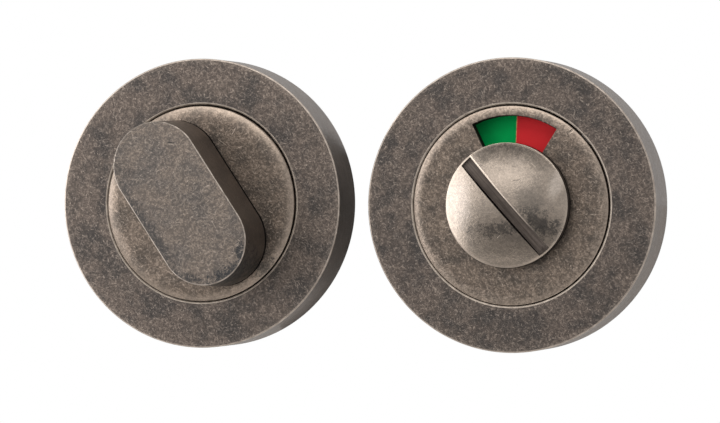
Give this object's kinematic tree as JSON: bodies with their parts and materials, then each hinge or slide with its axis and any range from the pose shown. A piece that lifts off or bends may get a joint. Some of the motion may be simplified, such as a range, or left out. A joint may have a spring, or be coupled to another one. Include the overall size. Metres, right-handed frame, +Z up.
{
  "type": "bathroom thumb turn lock",
  "caption": "Round aged-pewter bathroom lock set: an oval thumb turn with its spindle, and a coin release whose window shows green when unlocked and red when locked.",
  "frame": {"origin": "where the thumb turn's axis meets the door's face, in the plane of both roses' backs", "axes": "+Y into the door, square to its face, so the fittings stand out towards -Y; +X from the thumb turn to the coin release; +Z up"},
  "size_m": [0.105, 0.0818, 0.05],
  "materials": {
    "aged_pewter": "aged and mottled, worn pale on its edges",
    "plated_steel": "plain zinc plate",
    "spring_steel": "dark oiled",
    "nylon": "matt",
    "disc_metal": "yellow passivated",
    "green_foil": "satin green film",
    "red_foil": "satin red film"
  },
  "bodies": {
    "door_roses": {"turn_cover_ring": "aged_pewter", "turn_fixing_plate": "aged_pewter", "turn_bush": "nylon", "release_cover_ring": "aged_pewter", "release_fixing_plate": "aged_pewter", "release_bush": "nylon"},
    "thumb_turn": {"turn_knob": "aged_pewter", "turn_spindle": "plated_steel", "turn_spindle_pin": "plated_steel", "turn_spring_washer": "spring_steel", "turn_plain_washer": "plated_steel", "turn_retaining_clip": "spring_steel"},
    "coin_release": {"release_button": "aged_pewter", "release_thrust_washer": "nylon", "indicator_disc": "disc_metal", "indicator_green_foil": "green_foil", "indicator_red_foil": "red_foil", "release_spring_washer": "spring_steel", "release_plain_washer": "plated_steel", "release_retaining_clip": "spring_steel"}
  },
  "joints": [
    {"name": "turn_pivot", "type": "hinge", "parent": "door_roses", "child": "thumb_turn", "pos_m": [0, 0, 0], "axis": [0, -1, 0], "range_deg": [-33.9, 56.1]},
    {"name": "release_pivot", "type": "hinge", "parent": "door_roses", "child": "coin_release", "pos_m": [0.055, 0, 0], "axis": [0, -1, 0], "range_deg": [-42.1, 47.9]}
  ]
}
